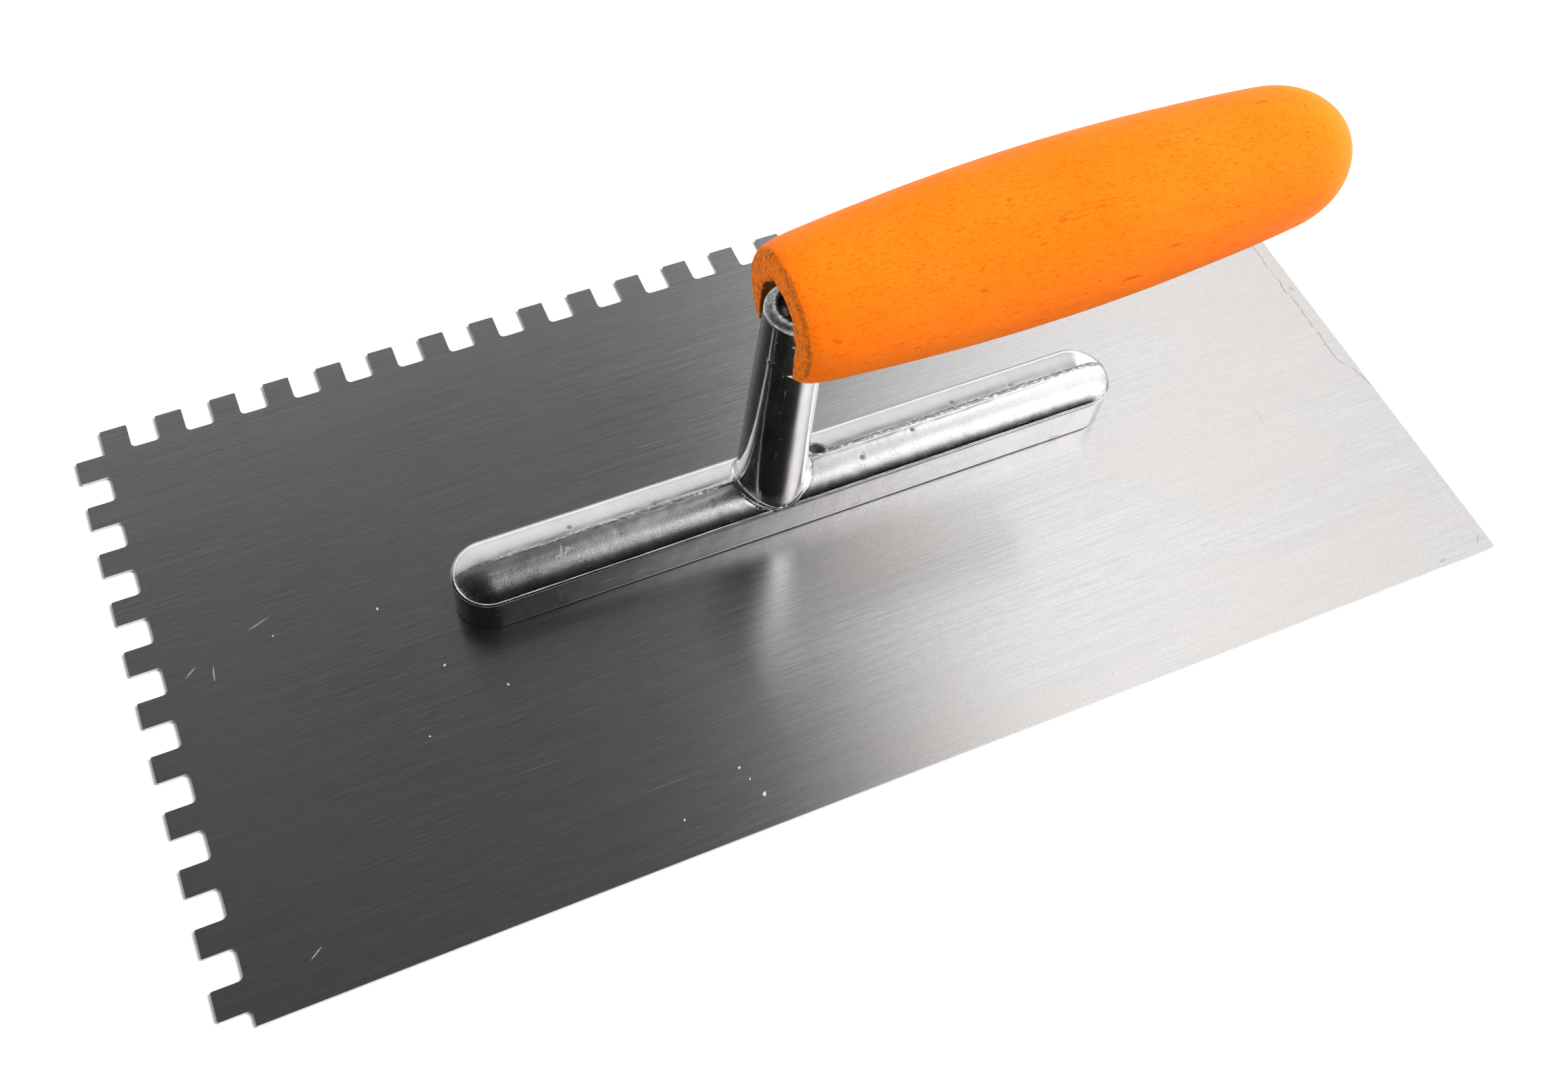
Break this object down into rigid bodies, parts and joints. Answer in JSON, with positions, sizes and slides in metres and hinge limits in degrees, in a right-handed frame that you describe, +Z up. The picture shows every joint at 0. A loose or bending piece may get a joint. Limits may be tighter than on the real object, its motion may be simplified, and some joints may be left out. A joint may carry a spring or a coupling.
{
  "type": "notched trowel",
  "caption": "Notched trowel: thin brushed steel blade with square notches on one short and one long edge, cast aluminium bar and post, turned orange wooden handle.",
  "frame": {"origin": "middle of the blade on its underside", "axes": "+Z up through the handle, +X towards the plain short edge and the handle's free end, +Y towards the notched long edge"},
  "size_m": [0.268, 0.13, 0.0832],
  "materials": {
    "blade_steel": "stainless sheet brushed along its length, with fine scratches",
    "cast_aluminium": "polished casting with small pits and a parting line",
    "painted_wood": "satin orange paint on fine-grained wood",
    "rivet_aluminium": "ground flush"
  },
  "bodies": {
    "root": {"blade": "blade_steel", "mounting_casting": "cast_aluminium", "handle": "painted_wood", "blade_rivets": "rivet_aluminium"}
  },
  "joints": []
}
